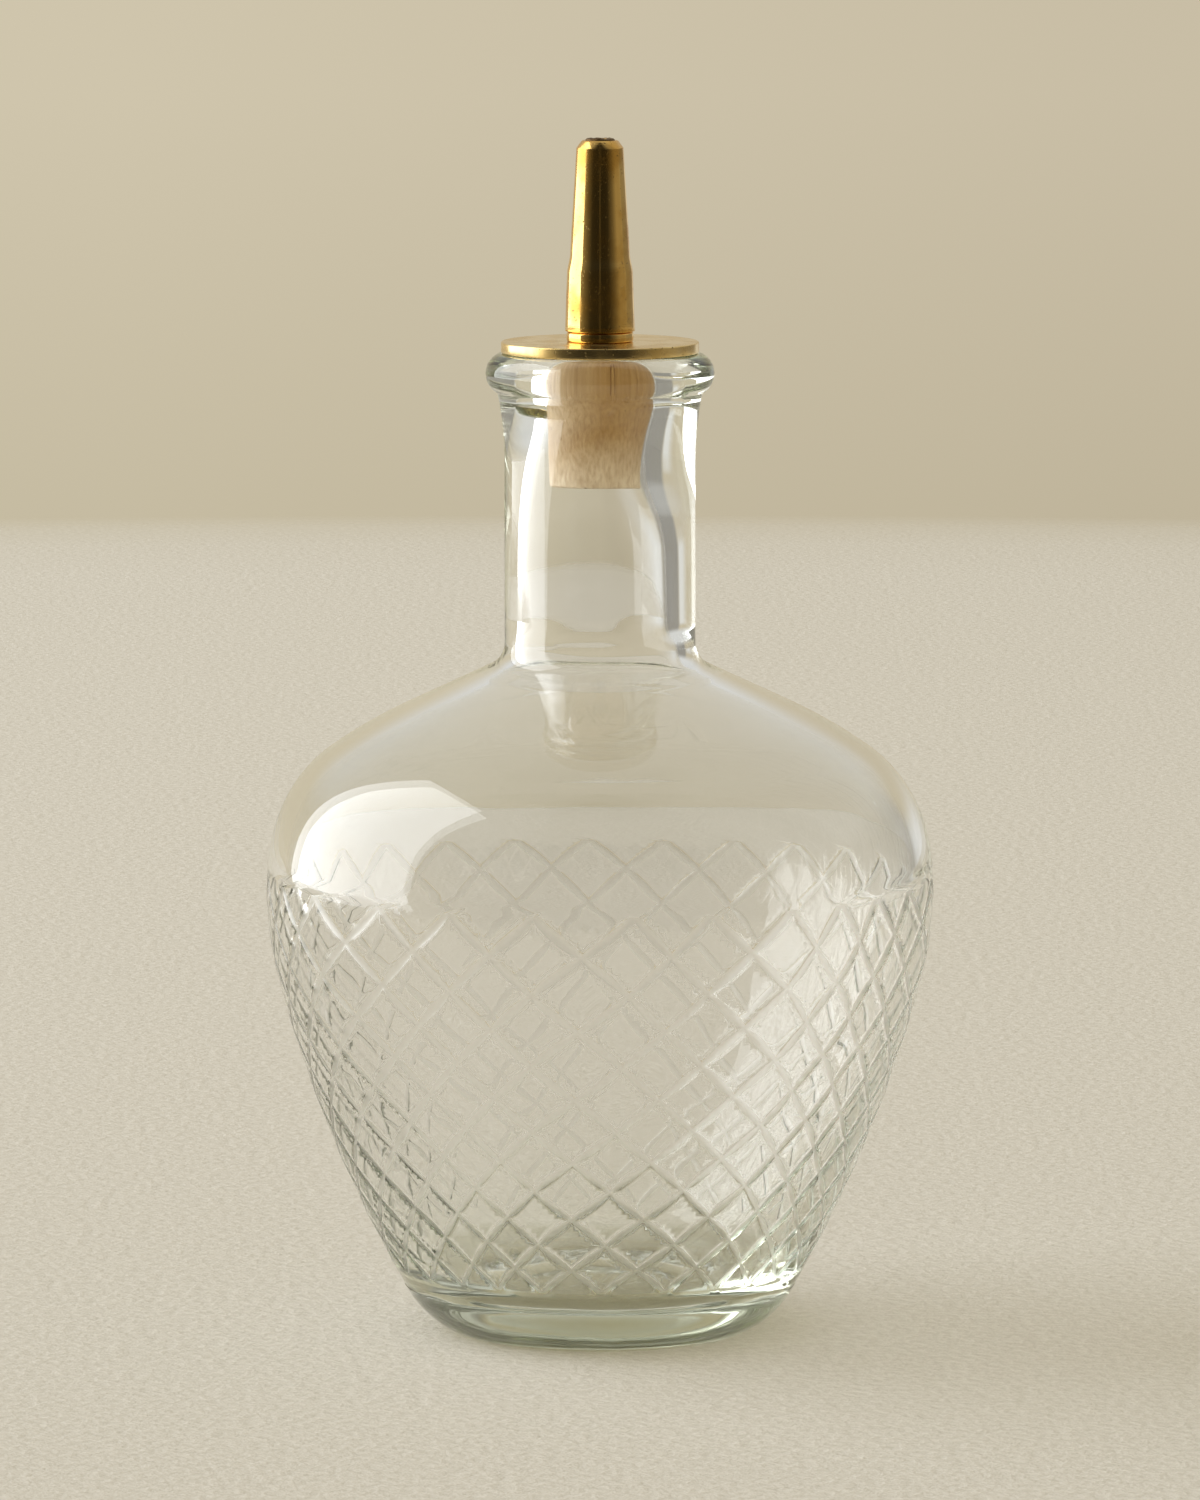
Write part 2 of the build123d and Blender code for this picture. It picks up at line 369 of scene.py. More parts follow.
wall_t = 2.6 * mm
base_t = 6.8 * mm
pocket_r = 24.2 * mm
pocket_h = 4.2 * mm
floor_r = 17.0 * mm
throat_r = 9.5 * mm
inner_root_r = 8.0 * mm
seat_h = 6.0 * mm
bore_r = 7.5 * mm
bore_low_r = 7.33 * mm
mouth_round = 1.1 * mm
bore_rows = 26

lip_side = (lip_r, (seam_z + mouth_z) / 2)
outside = [(0, kick_h)] + bend_to((0, kick_h), 0, (foot_r - foot_ring_w, 0), 6)
outside += [(foot_r - foot_ring_w / 2, 0), (foot_r, 0)]
outside += bend_to((foot_r, 0), foot_lean_deg, (heel_r, heel_z), 7) + [flank_foot]
outside += [(outer_r(point[1]), point[1]) for point in steps_to(flank_foot, (0, lattice_low), 3)[:-1]]
outside += [(outer_r(level_z(level)), level_z(level)) for level in range(levels + 1)]
lean = math.degrees(math.asin((lattice_high - body_z) / shoulder_arc_r))
outside += over_shoulder(outside[-1], 90 + lean, 0, neck_r, (6, 12, 6, 8))
neck_foot = outside[-1][1]
outside += steps_to((neck_r, neck_foot), (neck_r, flare_z), 8)
outside += bend_to((neck_r, flare_z), 90, (flare_r, seam_z), 7)
outside += bend_to(lip_side, -90, (flare_r, seam_z), 6)[-2::-1] + [lip_side]
outside += bend_to(lip_side, 90, (lip_flat_r, mouth_z), 9)

pocket_rim = (pocket_r, base_t + pocket_h)
inside = [(0, base_t)] + steps_to((0, base_t), (floor_r, base_t), 3)
inside += bend_to((floor_r, base_t), 0, pocket_rim, 7)[:-1]
belly = bend((body_r - wall_t, body_z), -90, belly_arc_r - wall_t, -belly_arc_deg, 5)
inside += (belly + bend_to(belly[-1], -90 - belly_arc_deg, pocket_rim, 14))[::-1]
inside += [(body_r - wall_t, body_z)]
inside += over_shoulder((body_r - wall_t, body_z), 90, wall_t, throat_r, (8, 14, 6, 14), inner_root_r)
seat_z = mouth_z - seat_h
root_z = inside[-1][1]
inside += steps_to((throat_r, root_z), (bore_low_r, seat_z), bore_rows)
inside += [(bore_r, mouth_z - mouth_round)] + bend((bore_r, mouth_z - mouth_round), 90, mouth_round, -90, 5)

bm = bmesh.new()
cut_share = bm.faces.layers.float.new("cut")
chain = [bm.verts.new((x, 0, z)) for x, z in outside + inside[::-1]]
for low, high in zip(chain, chain[1:]):
    bm.edges.new((low, high))
bmesh.ops.spin(bm, geom=bm.verts[:] + bm.edges[:], angle=math.tau, steps=columns, axis=(0, 0, 1),
               cent=(0, 0, 0), use_merge=True)
bmesh.ops.remove_doubles(bm, verts=bm.verts, dist=1e-7)
bmesh.ops.recalc_face_normals(bm, faces=bm.faces)

# Each vertex of the flank gets its column and level
tiny = 1e-6
grid = {}
for vert in bm.verts:
    z = vert.co.z
    radius = math.hypot(vert.co.x, vert.co.y)
    if lattice_low - tiny <= z <= lattice_high + tiny and radius > outer_r(z) - wall_t / 3:
        level = min(range(levels + 1), key=lambda k: abs(level_z(k) - z))
        column = round(math.atan2(vert.co.y, vert.co.x) / math.tau * columns) % columns
        grid[column, level] = vert

# Waves of the hand-blown wall: gentle outside, stronger inside and below, and drawn out up the neck.
# The bore leans to the left and narrows to the cork.
bore = ((86.0, 0, 0, 0), (91.6, 10.2, 9.9, 9.33), (93.8, 9.9, 9.1, 9.25), (102.0, 9.85, 8.98, 9.22),
        (105.0, 9.8, 8.88, 9.18), (108.5, 9.65, 8.45, 9.12), (111.5, 9.4, 7.75, 9.0), (114.0, 9.1, 7.2, 8.8),
        (117.0, 8.6, 7.0, 8.45), (120.0, 8.0, 7.05, 8.0), (122.0, 7.6, 7.2, 7.6), (123.75, 0, 0, 0))
to_left, to_right, to_front = 1, 2, 3    # places in a row of the bore, after its height in mm
wave_size = 11.0 * mm
wave_depth = 0.16 * mm
ripple_size = 4.0 * mm
ripple_depth = 0.035 * mm
wave_seed = 3
ripple_seed = 9
wave_end_h = 4.0 * mm      # the waves die out over this height, under the cork's seat
upper_waves = 0.12         # share of the waves left in the shoulder and the neck
upper_waves_z = body_z - 3.0 * mm
upper_waves_h = 16.0 * mm  # the height over which they weaken to it
skin_size = 16.0 * mm
skin_depth = 0.035 * mm
skin_seed = 5
skin_start_h = 9.0 * mm    # the skin's waves begin over this height, above the lattice
neck_stretch = 5.0
neck_stretch_z = neck_foot - 4.0 * mm
neck_margin = 3.0 * mm


def reach(z, way, radius):
    """How far the bore reaches in one way at a height. A 0 in the row stands for the bore's own radius."""
    for low, high in zip(bore, bore[1:]):
        if low[0] * mm <= z < high[0] * mm:
            share = (z / mm - low[0]) / (high[0] - low[0])
            return between(low[way] * mm or radius, high[way] * mm or radius, share)
    return radius


def wave(point, size, seed):
    """Smooth noise between about -1 and 1 at a point of the wall."""
    return noise.noise(Vector(point) / size + Vector((seed, 0, 0)))


def is_inner(vert):
    """Whether a vertex belongs to the inside of the glass."""
    radius, z = math.hypot(vert.co.x, vert.co.y), vert.co.z
    if z > neck_foot - neck_margin:
        return radius < throat_r + neck_margin
    if z > lattice_high:
        return vert.normal.z < 0
    return z > base_t - tiny and radius < outer_r(z) - wall_t / 2


in_lattice = set(grid.values())
waves_end = seat_z - 1 * mm
for vert in bm.verts:
    x, y, z = vert.co
    radius = math.hypot(x, y)
    if vert in in_lattice or radius < tiny:
        continue
    point = (x, y, z / neck_stretch if z > neck_stretch_z else z)
    inner = is_inner(vert)
    if inner and z < waves_end:
        push = wave_depth * wave(point, wave_size, wave_seed)
        push += ripple_depth * wave(point, ripple_size, ripple_seed)
        push *= min(1.0, (waves_end - z) / wave_end_h)
        push *= between(upper_waves, 1.0, min(1.0, max(0.0, (upper_waves_z - z) / upper_waves_h)))
        x *= reach(z, to_right if x > 0 else to_left, radius) / radius
        y *= reach(z, to_front, radius) / radius
        vert.co = Vector((x, y, z)) + vert.normal * push
    elif not inner and lattice_high < z < seam_z:
        start = min(1.0, (z - lattice_high) / skin_start_h) ** 2
        vert.co += vert.normal * start * skin_depth * (wave(point, skin_size, skin_seed) - 1)

# The cuts are pressed in along the diagonals, and their crossings stand where the hand set them.
lattice_phase_deg = -4.84
first_tip_deg = 2.08
upper_tips = ((-4, -3.9), (-3, -1.0), (-2, -0.5), (-1, 0.7), (0, 3.7),
              (1, 3.1), (2, 4.4), (3, 1.4), (4, -2.8), (5, -5.2))    # tip from the middle one, degrees off
lower_tips = ((-1, -4.0), (0, -1.7), (1, 1.8), (2, 2.5), (3, 0.8), (4, -0.9))
stray_end_tips = 3         # the straying dies out over this many tips more
cut_half_share = 0.95      # half width of a cut midway between crossings, in mesh steps
cross_half_share = 0.4     # the same at a crossing
cut_depth = 0.33 * mm
cross_depth = 0.17 * mm
hand_share = 0.22          # how much the hand varies a cut's width and depth
hand_steps = 9             # and over how many mesh steps
leaf_fullness = 0.8        # below 1, a cut is wide for more of its length
period = 2 * cell


def stray(tips, turn_deg):
    """How far a tip strays round the bottle, in degrees, smoothly between the tips named."""
    place_deg = (turn_deg - first_tip_deg + 180) % 360 - 180
    tip = place_deg * cuts_round / 360
    known = [(tips[0][0] - stray_end_tips, 0.0), *tips, (tips[-1][0] + stray_end_tips, 0.0)]
    for (left, left_off), (right, right_off) in zip(known, known[1:]):
        if left <= tip <= right:
            share = (tip - left) / (right - left)
            return between(left_off, right_off, share * share * (3 - 2 * share))
    return 0.0


def leaf(along_cut):
    """Swell of a cut between two crossings, 0 at the crossings and 1 midway."""
    return math.sin(math.pi * (along_cut % period) / period) ** leaf_fullness


def squeezed(across, half):
    """Moves a mesh line so that the lines next to a cut become its rims."""
    if across == 0:
        return 0.0
    return half + (across - 1) * (period - 2 * half) / (period - 2)


mid_cut = set()
for (column, level), vert in grid.items():
    rising, falling = (column - level) % period, (column + level) % period
    hand = 1 + hand_share * noise.noise(Vector((column / hand_steps, level / hand_steps, 2)))
    rising_half = between(cross_half_share, cut_half_share * hand, leaf(falling))
    falling_half = between(cross_half_share, cut_half_share * hand, leaf(rising))
    new_rising = squeezed(rising, rising_half)
    new_falling = squeezed(falling, falling_half)
    if level in (0, levels) and rising and falling:
        new_rising, new_falling = rising, falling
    new_column = column + (new_rising - rising + new_falling - falling) / 2
    new_level = level + (new_falling - falling - new_rising + rising) / 2
    new_level = min(max(new_level, 0), levels)
    depth = 0.0
    if rising == 0 or falling == 0:
        depth = hand * between(cross_depth, cut_depth, leaf(falling if rising == 0 else rising))
        mid_cut.add(vert)
    if level in (0, levels):
        depth = 0.0
    z = level_z(new_level)
    turn_deg = 360 * new_column / columns + lattice_phase_deg
    from_front = turn_deg + 90
    turn_deg += between(stray(lower_tips, from_front), stray(upper_tips, from_front), level / levels)
    turn = math.radians(turn_deg)
    radius = outer_r(z) - depth
    vert.co = (radius * math.cos(turn), radius * math.sin(turn), z)

# Faces on a cut and beside it are split along it, so that its bottom and its rims are edges of the mesh
beside = (1, period - 1)
for level in range(levels):
    for column in range(columns):
        here, right = grid[column, level], grid[(column + 1) % columns, level]
        above, across = grid[column, level + 1], grid[(column + 1) % columns, level + 1]
        rising, falling = (column - level) % period, (column + 1 + level) % period
        if rising == 0 or (rising in beside and falling != 0):
            ends = (here, across)
        elif falling == 0 or falling in beside:
            ends = (right, above)
        else:
            continue
        face = (set(here.link_faces) & set(across.link_faces)).pop()
        bmesh.utils.face_split(face, *ends)

sharp_turn = math.radians(7)
crease_half_h = 0.2 * mm
for face in bm.faces:
    face.smooth = True
    on_cut = in_lattice.issuperset(face.verts) and not mid_cut.isdisjoint(face.verts)
    face[cut_share] = 1.0 if on_cut else 0.0
for edge in bm.edges:
    on_crease = all(abs(vert.co.z - heel_z) < crease_half_h for vert in edge.verts)
    if (on_crease or in_lattice.issuperset(edge.verts)) and edge.calc_face_angle(0) > sharp_turn:
        edge.smooth = False
glass_bottle = bpy.data.objects.new("cut_glass_bottle", bpy.data.meshes.new("cut_glass_bottle"))
bm.to_mesh(glass_bottle.data)
bm.free()
scene.collection.objects.link(glass_bottle)

glass_tint = (0.55, 0.625, 0.35)
glass_tint_density = 9.0
cut_roughness = 0.28
# Base colour by height: darker and greener through the thick foot, and painted shade in a faint band over the
# shoulder.
tint_and_shoulder_shade_stops = ((0.0, (0.56, 0.55, 0.42)), (4.6 * mm, (0.62, 0.61, 0.49)), (6.4 * mm, (0.96, 0.965, 0.94)),
              (24 * mm, (1.0, 1.0, 1.0)), (64 * mm, (1.0, 1.0, 1.0)), (70 * mm, (0.935, 0.935, 0.925)),
              (79 * mm, (0.945, 0.945, 0.935)), (87 * mm, (1.0, 1.0, 1.0)))
glass = bpy.data.materials.new("green_tinged_glass")
glass.use_nodes = True
nodes, links = glass.node_tree.nodes, glass.node_tree.links
shader = nodes["Principled BSDF"]
shader.inputs["IOR"].default_value = 1.51
shader.inputs["Coat IOR"].default_value = 2.1
shader.inputs["Coat Roughness"].default_value = 0.34
shader.inputs["Transmission Weight"].default_value = 1.0
tint = nodes.new("ShaderNodeVolumeAbsorption")
tint.inputs["Color"].default_value = (*glass_tint, 1)
tint.inputs["Density"].default_value = glass_tint_density
links.new(tint.outputs["Volume"], nodes["Material Output"].inputs["Volume"])
place = nodes.new("ShaderNodeTexCoord")
split = nodes.new("ShaderNodeSeparateXYZ")
links.new(place.outputs["Object"], split.inputs["Vector"])
links.new(ramp(split.outputs["Z"], tint_and_shoulder_shade_stops), shader.inputs["Base Color"])
in_cut = nodes.new("ShaderNodeAttribute")
in_cut.attribute_name = "cut"
links.new(ranged(in_cut.outputs["Fac"], 0.0, 1.0, 0.0, cut_roughness), shader.inputs["Roughness"])
links.new(in_cut.outputs["Fac"], shader.inputs["Coat Weight"])
glass_bottle.data.materials.append(glass)
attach(glass_bottle, "bottle")
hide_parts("glass_bottle")

# Cork stopper: a fine-grained tapered cork, bored for the tube, pressed into the mouth.
# It is sanded, with short vertical pores, and is paler towards its lower end. Its side towards the window is
# painted paler, as painted light.
disc_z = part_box("flange_disc")[0][2]
cork_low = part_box("cork_stopper")[0][2]
tube_r = 2.0 * mm
cork_top_r = 7.45 * mm
cork_end_r = 6.42 * mm
cork_ease = 0.35 * mm
cork_rows = 22
sanding_size = 1.6 * mm
sanding_depth = 0.05 * mm
turned_sharp = math.radians(32)    # an edge of a turned piece is sharp from this turn on


def turned(name, outline, steps):
    """A piece whose closed outline of radii and heights is turned round the axis."""
    bm = bmesh.new()
    ring = [bm.verts.new((x, 0, z)) for x, z in outline]
    for low, high in zip(ring, ring[1:] + ring[:1]):
        bm.edges.new((low, high))
    bmesh.ops.spin(bm, geom=bm.verts[:] + bm.edges[:], angle=math.tau, steps=steps, axis=(0, 0, 1),
                   cent=(0, 0, 0), use_merge=True)
    bmesh.ops.remove_doubles(bm, verts=bm.verts, dist=1e-7)
    bmesh.ops.recalc_face_normals(bm, faces=bm.faces)
    for face in bm.faces:
        face.smooth = True
    for edge in bm.edges:
        edge.smooth = edge.calc_face_angle(0) < turned_sharp
    piece = bpy.data.objects.new(name, bpy.data.meshes.new(name))
    bm.to_mesh(piece.data)
    bm.free()
    scene.collection.objects.link(piece)
    return piece


cork_outline = [(tube_r, cork_low), (cork_end_r - cork_ease, cork_low)]
cork_outline += bend((cork_end_r - cork_ease, cork_low), 0, cork_ease, 88, 4)
cork_foot = cork_outline[-1]
cork_outline += steps_to(cork_foot, (cork_top_r, disc_z), cork_rows) + [(tube_r, disc_z)]
cork_stopper = turned("tapered_cork", cork_outline, 128)
for vert in cork_stopper.data.vertices:
    if math.hypot(vert.co.x, vert.co.y) > cork_end_r * 0.8 and vert.co.z < disc_z - 0.5 * mm:
        sanded = sanding_depth * (noise.noise(vert.co / sanding_size) - 1)
        vert.co.x += sanded * vert.co.x / cork_top_r
        vert.co.y += sanded * vert.co.y / cork_top_r

cork_brown = (0.55, 0.365, 0.16)
cork_pale = (0.87, 0.77, 0.62)
cork_pore = (0.25, 0.13, 0.05)
speckle_shade = (0.8, 0.74, 0.68)
blotch_shade = (0.86, 0.82, 0.78)
pale_h = 8 * mm
# Painted light: the cork is painted paler on the side that faces the window.
window_side_painted_light = 0.55           # the side that faces the window is paler too
cork = bpy.data.materials.new("cork")
cork.use_nodes = True
nodes, links = cork.node_tree.nodes, cork.node_tree.links
shader = nodes["Principled BSDF"]
shader.inputs["Roughness"].default_value = 0.85
shader.inputs["Specular IOR Level"].default_value = 0.25
place = nodes.new("ShaderNodeTexCoord")


def grained(scale, detail, stretch=(1, 1, 1)):
    """A Noise node on the piece's own coordinates, stretched along its axes."""
    stretched = nodes.new("ShaderNodeMapping")
    stretched.inputs["Scale"].default_value = stretch
    grain = nodes.new("ShaderNodeTexNoise")
    grain.inputs["Scale"].default_value = scale
    grain.inputs["Detail"].default_value = detail
    links.new(place.outputs["Object"], stretched.inputs["Vector"])
    links.new(stretched.outputs["Vector"], grain.inputs["Vector"])
    return grain.outputs["Fac"]


def bumped(height, strength, distance):
    """A Bump node whose normal goes to the shader."""
    bump = nodes.new("ShaderNodeBump")
    bump.inputs["Strength"].default_value = strength
    bump.inputs["Distance"].default_value = distance
    links.new(height, bump.inputs["Height"])
    links.new(bump.outputs["Normal"], shader.inputs["Normal"])


split = nodes.new("ShaderNodeSeparateXYZ")
links.new(place.outputs["Object"], split.inputs["Vector"])
# Paler towards the lower end, and painted light: paler on the side that faces the window.
pale_end_and_window_light = ranged(split.outputs["Z"], cork_low + pale_h, cork_low + 0.5 * mm)
pale_end_and_window_light = worked("MAXIMUM", pale_end_and_window_light, ranged(split.outputs["X"], 0.5 * mm, -5 * mm, 0.0, window_side_painted_light))
colour = mixed(pale_end_and_window_light, cork_brown, cork_pale)
fine_grain = grained(scale=2600, detail=4, stretch=(1, 1, 0.35))
speckled = mixed(1.0, colour, speckle_shade, "MULTIPLY")
colour = mixed(ranged(fine_grain, 0.3, 0.6), speckled, colour)
blotched = mixed(1.0, colour, blotch_shade, "MULTIPLY")
colour = mixed(ranged(grained(scale=260, detail=3), 0.35, 0.65), blotched, colour)
pores = ranged(grained(scale=1300, detail=2, stretch=(1.6, 1.6, 0.6)), 0.29, 0.25)
colour = mixed(pores, colour, cork_pore)
links.new(colour, shader.inputs["Base Color"])
bumped(worked("SUBTRACT", fine_grain, pores), 0.5, 0.3 * mm)
cork_stopper.data.materials.append(cork)
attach(cork_stopper, "stopper")
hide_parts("cork_stopper")

# Flange disc: a flat brass disc, turned and lightly polished, that rests on the lip and caps the cork.
# All the brass has one kind of surface: fine tool marks, dark pits and a thin brown tarnish.
disc_r = 13.05 * mm
disc_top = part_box("flange_disc")[1][2]
spigot_r = 3.4 * mm
disc_ease = 0.22 * mm
pit_colour = (0.1, 0.055, 0.02)
pit_cover = 0.85
disc_outline = [(spigot_r, disc_z), (disc_r - 3 * disc_ease, disc_z), (disc_r - disc_ease, disc_z)]
disc_outline += bend(disc_outline[-1], 0, disc_ease, 90, 4)
disc_outline += [(disc_r, between(disc_z, disc_top, 0.5)), (disc_r, disc_top - disc_ease)]
disc_outline += bend(disc_outline[-1], 90, disc_ease, 90, 4)
disc_outline += [(disc_r - 3 * disc_ease, disc_top), (spigot_r, disc_top)]
flange_disc = turned("flange_disc_turned", disc_outline, 160)

tool_marks = bpy.data.node_groups.new("tool_marks", "ShaderNodeTree")
tool_marks.interface.new_socket("Stretch", in_out="INPUT", socket_type="NodeSocketVector")
tool_marks.interface.new_socket("Pit Fineness", in_out="INPUT", socket_type="NodeSocketFloat")
for mask in ("Marks", "Pits", "Tarnish"):
    tool_marks.interface.new_socket(mask, in_out="OUTPUT", socket_type="NodeSocketFloat")
nodes, links = tool_marks.nodes, tool_marks.links
inlet, outlet = nodes.new("NodeGroupInput"), nodes.new("NodeGroupOutput")
place = nodes.new("ShaderNodeTexCoord")
stretched = nodes.new("ShaderNodeVectorMath")
stretched.operation = "MULTIPLY"
links.new(place.outputs["Object"], stretched.inputs[0])
links.new(inlet.outputs["Stretch"], stretched.inputs[1])
marks = nodes.new("ShaderNodeTexNoise")
marks.inputs["Scale"].default_value = 1.0
marks.inputs["Detail"].default_value = 3
links.new(stretched.outputs["Vector"], marks.inputs["Vector"])
links.new(marks.outputs["Fac"], outlet.inputs["Marks"])
pits = nodes.new("ShaderNodeTexNoise")
pits.inputs["Detail"].default_value = 3
links.new(place.outputs["Object"], pits.inputs["Vector"])
links.new(inlet.outputs["Pit Fineness"], pits.inputs["Scale"])
links.new(ranged(pits.outputs["Fac"], 0.34, 0.3), outlet.inputs["Pits"])
links.new(ranged(grained(scale=230, detail=3), 0.42, 0.66), outlet.inputs["Tarnish"])


def brass(name, bright, dull, smooth, rough, stretch, pit_fineness, depth):
    """Brass from a bright, smooth colour to a dull, rough one, with its own tool marks and pits."""
    global nodes, links, shader
    metal = bpy.data.materials.new(name)
    metal.use_nodes = True
    nodes, links = metal.node_tree.nodes, metal.node_tree.links
    shader = nodes["Principled BSDF"]
    shader.inputs["Metallic"].default_value = 1.0
    wear = nodes.new("ShaderNodeGroup")
    wear.node_tree = tool_marks
    wear.inputs["Stretch"].default_value = stretch
    wear.inputs["Pit Fineness"].default_value = pit_fineness
    colour = mixed(wear.outputs["Tarnish"], bright, dull)
    colour = mixed(worked("MULTIPLY", wear.outputs["Pits"], pit_cover), colour, pit_colour)
    links.new(colour, shader.inputs["Base Color"])
    roughness = ranged(worked("ADD", wear.outputs["Tarnish"], wear.outputs["Pits"]), 0.0, 1.0, smooth, rough)
    links.new(roughness, shader.inputs["Roughness"])
    bumped(worked("SUBTRACT", wear.outputs["Marks"], wear.outputs["Pits"]), 0.4, depth)
    return metal


satin_brass = brass("satin_brass", bright=(0.8, 0.6, 0.27), dull=(0.66, 0.46, 0.17), smooth=0.17, rough=0.3,
                    stretch=(500, 500, 900), pit_fineness=2200, depth=0.04 * mm)
flange_disc.data.materials.append(satin_brass)
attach(flange_disc, "stopper")
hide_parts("flange_disc")

# Threaded collar: a low boss on the disc, its spigot riveted through it, with the stem for the nozzle.
# One turned brass piece, so the stem stays with the collar when the nozzle is unscrewed.
collar_r = 4.42 * mm
collar_h = 1.3 * mm
collar_ease = 0.3 * mm
stem_r = 2.85 * mm
stem_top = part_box("threaded_collar")[1][2]
collar_top = disc_top + collar_h
collar_outline = [(tube_r, disc_z), (spigot_r, disc_z), (spigot_r, disc_top)]
collar_outline += [(collar_r - collar_ease, disc_top)]
collar_outline += bend(collar_outline[-1], 0, collar_ease, 90, 4) + [(collar_r, collar_top - collar_ease)]
collar_outline += bend(collar_outline[-1], 90, collar_ease, 90, 4)
collar_outline += [(stem_r, collar_top), (stem_r, stem_top - collar_ease / 2)]
collar_outline += [(stem_r - collar_ease / 2, stem_top), (tube_r, stem_top)]
threaded_collar = turned("collar_with_stem", collar_outline, 96)
turned_brass = brass("turned_brass", bright=(0.83, 0.55, 0.18), dull=(0.6, 0.34, 0.075), smooth=0.06,
                     rough=0.24, stretch=(260, 260, 5200), pit_fineness=2600, depth=0.03 * mm)
threaded_collar.data.materials.append(turned_brass)
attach(threaded_collar, "stopper")
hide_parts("threaded_collar")

# Feed tube: a drawn brass tube through the cork and the collar, pressed in.
# Only its ends show, so the solid stays as it is and gets its material.
drawn_brass = brass("drawn_brass", bright=(0.76, 0.56, 0.26), dull=(0.5, 0.35, 0.15), smooth=0.2, rough=0.4,
                    stretch=(2400, 2400, 90), pit_fineness=900, depth=0.03 * mm)
feed_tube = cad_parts["feed_tube"]
feed_tube.data.materials.clear()
feed_tube.data.materials.append(drawn_brass)

# Dasher nozzle: a turned brass cone on a foot, with a soft shoulder and a chamfered tip.
# Inside are the socket for the stem, the step for the washer and the channel to the tip.
nozzle_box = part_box("dasher_nozzle")
nozzle_z, nozzle_top = nozzle_box[0][2], nozzle_box[1][2]
foot_low_r = 4.62 * mm
foot_high_r = 4.36 * mm
foot_h = 7.4 * mm
shoulder_h = 3.0 * mm
shoulder_steps = 12
cone_low_r = 3.94 * mm
cone_high_r = 3.12 * mm
cone_lean_deg = 3
chamfer_h = 0.9 * mm
chamfer_turn_deg = 36
tip_r = 2.36 * mm
socket_r = 2.91 * mm
step_z = nozzle_z + 8.4 * mm
channel_r = 2.2 * mm
channel_cone_h = 2.2 * mm
insert_r = 1.5 * mm
insert_z = nozzle_top - 4.0 * mm
foot_ease = 0.15 * mm
tip_ease = 0.2 * mm
foot_top = nozzle_z + foot_h
cone_z = foot_top + shoulder_h
chamfer_z = nozzle_top - chamfer_h
nozzle_outline = [(socket_r, nozzle_z), (foot_low_r - foot_ease, nozzle_z)]
nozzle_outline += bend(nozzle_outline[-1], 0, foot_ease, 88, 3)
nozzle_outline += steps_to((foot_low_r, nozzle_z + foot_ease), (foot_high_r, foot_top), 6)
for step in range(1, shoulder_steps + 1):
    share = step / shoulder_steps
    eased = (1 - math.cos(math.pi * share)) / 2
    nozzle_outline.append((between(foot_high_r, cone_low_r, eased), between(foot_top, cone_z, share)))
nozzle_outline += steps_to((cone_low_r, cone_z), (cone_high_r, chamfer_z - tip_ease), 10)
nozzle_outline += bend(nozzle_outline[-1], 90 + cone_lean_deg, tip_ease * 1.6, chamfer_turn_deg, 4)
nozzle_outline += [(tip_r + 0.1 * mm, nozzle_top - 0.12 * mm), (tip_r - 0.08 * mm, nozzle_top)]
nozzle_outline += [(insert_r, nozzle_top), (insert_r, insert_z), (channel_r, insert_z - channel_cone_h)]
nozzle_outline += [(channel_r, step_z), (socket_r, step_z)]
dasher_nozzle = turned("turned_nozzle", nozzle_outline, 128)
dasher_nozzle.data.materials.append(turned_brass)
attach(dasher_nozzle, "nozzle")
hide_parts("dasher_nozzle")

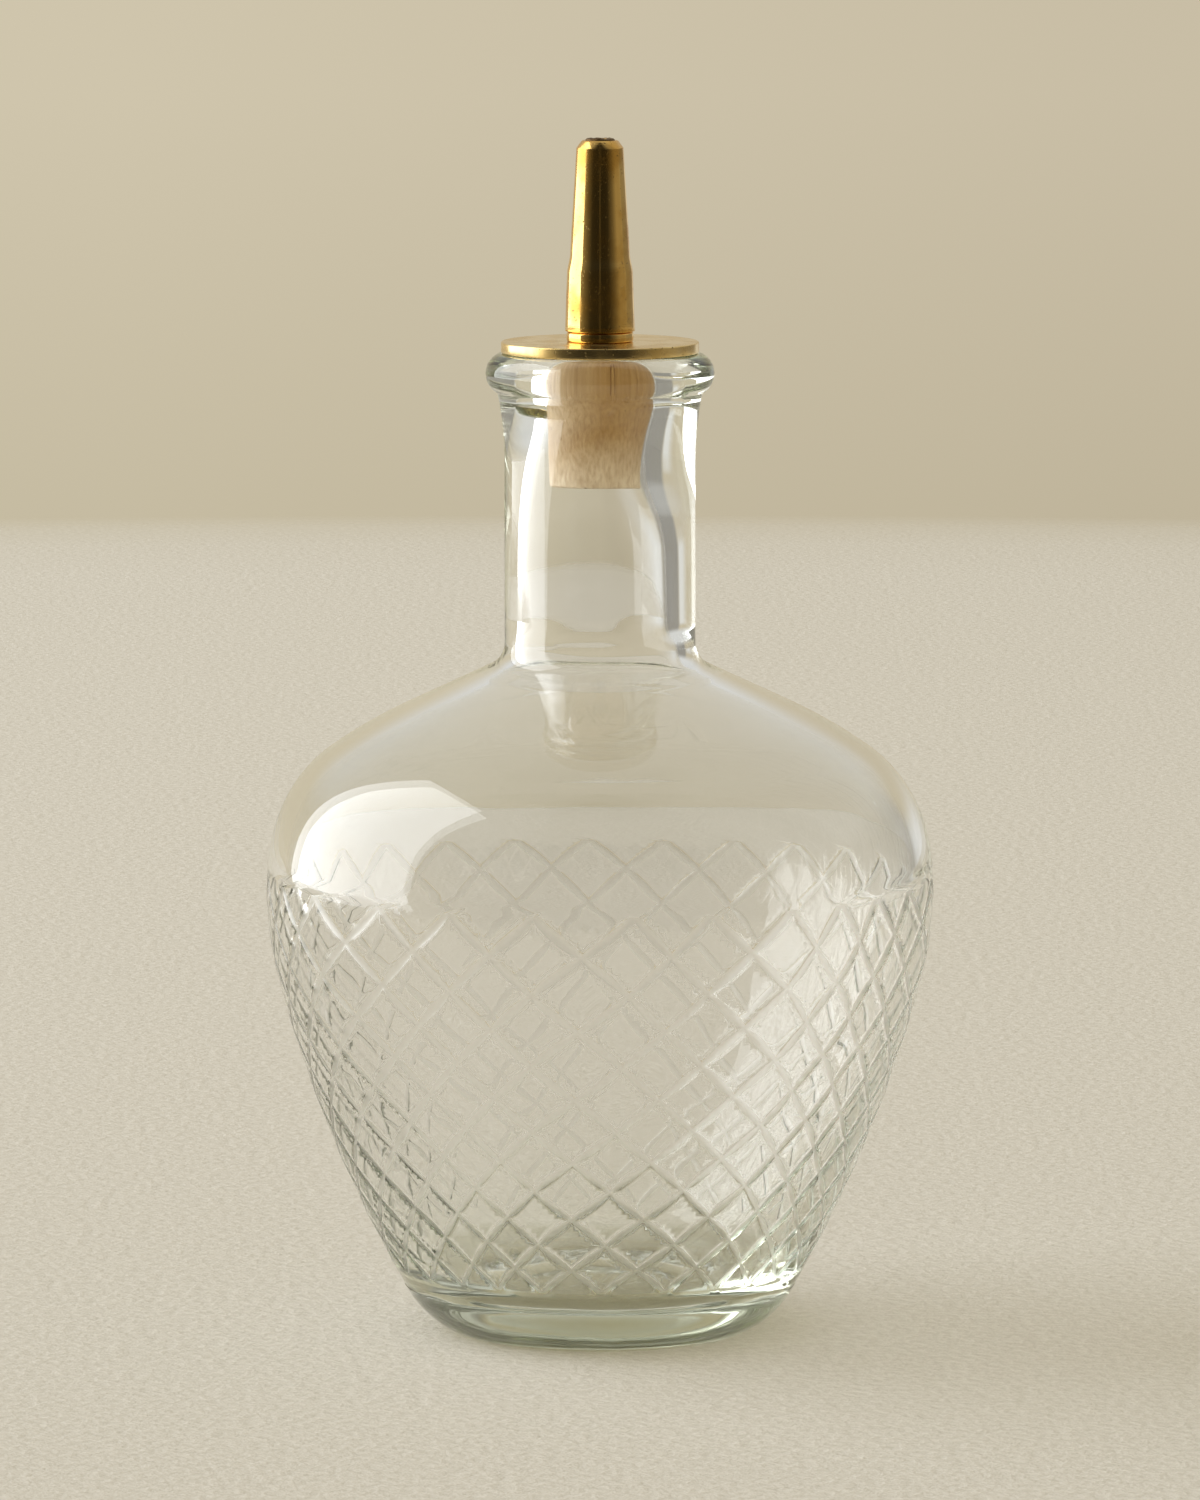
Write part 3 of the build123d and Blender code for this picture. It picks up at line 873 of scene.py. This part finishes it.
# Dash insert: a small brass plug with the dash hole.
# It is pressed into the tip and peened over it, so its rim is dented, rough and dark.
rim_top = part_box("dash_insert")[1][2]
rim_r = 1.95 * mm
land_r = 1.1 * mm
dip = 0.8 * mm
dash_hole_r = 0.5 * mm
dent_size = 0.55 * mm
dent_depth = 0.16 * mm
dent_spread = 0.06
insert_outline = [(dash_hole_r, insert_z), (insert_r, insert_z), (insert_r, nozzle_top), (rim_r, nozzle_top)]
insert_outline += [(rim_r, nozzle_top + 0.15 * mm), (rim_r - 0.1 * mm, rim_top - 0.05 * mm)]
insert_outline += [(rim_r - 0.3 * mm, rim_top), (between(rim_r, land_r, 0.7), rim_top)]
insert_outline += [(land_r, rim_top - 0.05 * mm), (between(land_r, dash_hole_r, 0.5), rim_top - dip / 2)]
insert_outline += [(dash_hole_r, rim_top - dip)]
dash_insert = turned("peened_insert", insert_outline, 72)
for vert in dash_insert.data.vertices:
    if vert.co.z > nozzle_top + 0.01 * mm:
        dent = noise.noise(Vector((vert.co.x, vert.co.y, 0)) / dent_size)
        vert.co.z -= dent_depth * (1 + dent) * (vert.co.z - nozzle_top) / (rim_top - nozzle_top)
        vert.co.x *= 1 + dent_spread * (dent - 0.4)
        vert.co.y *= 1 + dent_spread * (dent - 0.4)
aged_brass = brass("aged_brass", bright=(0.42, 0.28, 0.1), dull=(0.14, 0.08, 0.03), smooth=0.3, rough=0.55,
                   stretch=(1500, 1500, 1500), pit_fineness=1800, depth=0.08 * mm)
dash_insert.data.materials.append(aged_brass)
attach(dash_insert, "nozzle")
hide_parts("dash_insert")

# Nozzle washer: a thin black rubber seal between the stem's end and the nozzle's inner step.
# It is hidden there, so the solid stays as it is and gets its material.
rubber_black = (0.015, 0.015, 0.014)
rubber_dusty = (0.035, 0.034, 0.03)
rubber = bpy.data.materials.new("rubber")
rubber.use_nodes = True
nodes, links = rubber.node_tree.nodes, rubber.node_tree.links
shader = nodes["Principled BSDF"]
place = nodes.new("ShaderNodeTexCoord")
dust = grained(scale=1500, detail=3)
colour = mixed(ranged(dust, 0.4, 0.7), rubber_black, rubber_dusty)
links.new(colour, shader.inputs["Base Color"])
links.new(ranged(dust, 0.3, 0.7, 0.55, 0.75), shader.inputs["Roughness"])
bumped(dust, 0.3, 0.05 * mm)
nozzle_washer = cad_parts["nozzle_washer"]
nozzle_washer.data.materials.clear()
nozzle_washer.data.materials.append(rubber)
